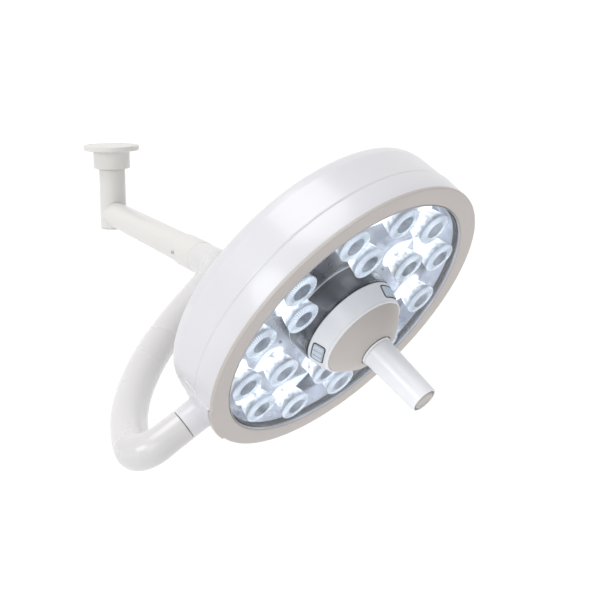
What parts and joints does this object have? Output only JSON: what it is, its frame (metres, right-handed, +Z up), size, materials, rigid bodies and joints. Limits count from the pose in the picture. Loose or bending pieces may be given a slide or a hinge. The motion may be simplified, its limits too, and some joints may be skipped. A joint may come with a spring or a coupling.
{
  "type": "surgical light",
  "caption": "Round surgical light head on a single-sided yoke and arm, with LED clusters, keypads, and a pull-off handle that turns to focus.",
  "frame": {"origin": "centre of the mounting flange's top face, on the vertical swivel axis", "axes": "+Z up along the swivel axis, +X along the horizontal arm towards the light head"},
  "size_m": [1.5746, 0.6308, 0.51],
  "materials": {
    "white_paint": "smooth glossy white moulding",
    "yoke_paint": "glossy white powder coat on cast aluminium",
    "arm_paint": "satin light warm grey powder coat",
    "bezel_grey": "satin beige-grey moulding",
    "clear_lens": "clear cover glass",
    "reflector": "bright rolled silver-blue reflector sheet",
    "optic": "clear moulded collimator",
    "led_board": "white metal-core board with lit emitters",
    "black_gloss": "polished black",
    "black_rubber": "matt black rubber",
    "aluminium": "machined aluminium",
    "steel": "bright turned steel",
    "bronze": "oiled bronze bearing",
    "circuit_green": "solder mask",
    "handle_white": "smooth white autoclavable plastic",
    "key_blue_grey": "satin membrane key",
    "cable_black": "black cable sheath"
  },
  "bodies": {
    "mount": {"mounting_flange": "arm_paint", "swivel_bearing": "bronze"},
    "arm": {"drop_tube": "arm_paint", "drop_tube_end_cap": "arm_paint", "arm_tube": "arm_paint", "arm_collar": "arm_paint", "roll_bearing": "bronze", "roll_brake_ring": "black_rubber", "collar_screw_left": "steel", "collar_screw_right": "steel", "arm_cable": "cable_black"},
    "yoke": {"yoke_tube": "yoke_paint", "roll_spindle": "steel", "roll_retaining_ring": "steel", "tilt_shaft": "steel", "tilt_shaft_nut": "steel", "tilt_spring_washer": "steel", "yoke_cable": "cable_black"},
    "head": {"rear_shell": "white_paint", "front_ring": "white_paint", "bezel_ring": "bezel_grey", "pivot_collar": "yoke_paint", "tilt_bracket": "aluminium", "tilt_bush": "bronze", "tilt_friction_disc": "black_rubber", "lens_cover": "clear_lens", "lens_gasket": "black_rubber", "light_baffle": "black_gloss", "reflector_dish": "reflector", "hub_core_ring": "black_gloss", "chassis_heat_sink": "aluminium", "driver_board": "circuit_green", "hub_housing": "white_paint", "hub_face": "bezel_grey", "handle_socket": "aluminium", "focus_bush": "bronze", "keypad_frame_a": "black_rubber", "keypad_frame_b": "black_rubber", "led_board_1": "led_board", "led_board_2": "led_board", "led_board_3": "led_board", "led_board_4": "led_board", "led_board_5": "led_board", "led_board_6": "led_board", "led_optic_1": "optic", "led_optic_2": "optic", "led_optic_3": "optic", "led_optic_4": "optic", "led_optic_5": "optic", "led_optic_6": "optic"},
    "handle_core": {"focus_spindle": "aluminium", "handle_base_ring": "handle_white"},
    "handle_sleeve": {"handle_sleeve": "handle_white"},
    "release_button": {"release_button": "bezel_grey"},
    "key_dim_a": {"key_dim_a": "key_blue_grey"},
    "key_power_a": {"key_power_a": "key_blue_grey"},
    "key_bright_a": {"key_bright_a": "key_blue_grey"},
    "key_dim_b": {"key_dim_b": "key_blue_grey"},
    "key_power_b": {"key_power_b": "key_blue_grey"},
    "key_bright_b": {"key_bright_b": "key_blue_grey"}
  },
  "joints": [
    {"name": "arm_swivel", "type": "hinge", "parent": "mount", "child": "arm", "pos_m": [0, 0, 0], "axis": [0, 0, 1], "range_deg": [-165, 165]},
    {"name": "yoke_roll", "type": "hinge", "parent": "arm", "child": "yoke", "pos_m": [1.296, 0, -0.175], "axis": [1, 0, 0], "range_deg": [-130, 130]},
    {"name": "head_tilt", "type": "hinge", "parent": "yoke", "child": "head", "pos_m": [1.296, 0.02456, -0.15929], "axis": [0, -0.8425, -0.5388], "range_deg": [-130, 110]},
    {"name": "focus_turn", "type": "hinge", "parent": "head", "child": "handle_core", "pos_m": [1.296, 0.02456, -0.15929], "axis": [0.7513, 0.3556, -0.556], "range_deg": [-90, 90]},
    {"name": "sleeve_pull", "type": "slide", "parent": "handle_core", "child": "handle_sleeve", "axis": [0.7513, 0.3556, -0.556], "range_m": [0, 0.12]},
    {"name": "release_press", "type": "slide", "parent": "handle_core", "child": "release_button", "axis": [-0.7513, -0.3556, 0.556], "range_m": [0, 0.003], "stiffness_N_per_m": 900, "springref_m": -0.002},
    {"name": "key_dim_a_press", "type": "slide", "parent": "head", "child": "key_dim_a", "axis": [-0.4155, 0.7691, 0.4857], "range_m": [0, 0.0008], "stiffness_N_per_m": 800, "springref_m": -0.0008},
    {"name": "key_power_a_press", "type": "slide", "parent": "head", "child": "key_power_a", "axis": [-0.4155, 0.7691, 0.4857], "range_m": [0, 0.0008], "stiffness_N_per_m": 800, "springref_m": -0.0008},
    {"name": "key_bright_a_press", "type": "slide", "parent": "head", "child": "key_bright_a", "axis": [-0.4155, 0.7691, 0.4857], "range_m": [0, 0.0008], "stiffness_N_per_m": 800, "springref_m": -0.0008},
    {"name": "key_dim_b_press", "type": "slide", "parent": "head", "child": "key_dim_b", "axis": [-0.5458, -0.6112, -0.5731], "range_m": [0, 0.0008], "stiffness_N_per_m": 800, "springref_m": -0.0008},
    {"name": "key_power_b_press", "type": "slide", "parent": "head", "child": "key_power_b", "axis": [-0.5458, -0.6112, -0.5731], "range_m": [0, 0.0008], "stiffness_N_per_m": 800, "springref_m": -0.0008},
    {"name": "key_bright_b_press", "type": "slide", "parent": "head", "child": "key_bright_b", "axis": [-0.5458, -0.6112, -0.5731], "range_m": [0, 0.0008], "stiffness_N_per_m": 800, "springref_m": -0.0008}
  ]
}
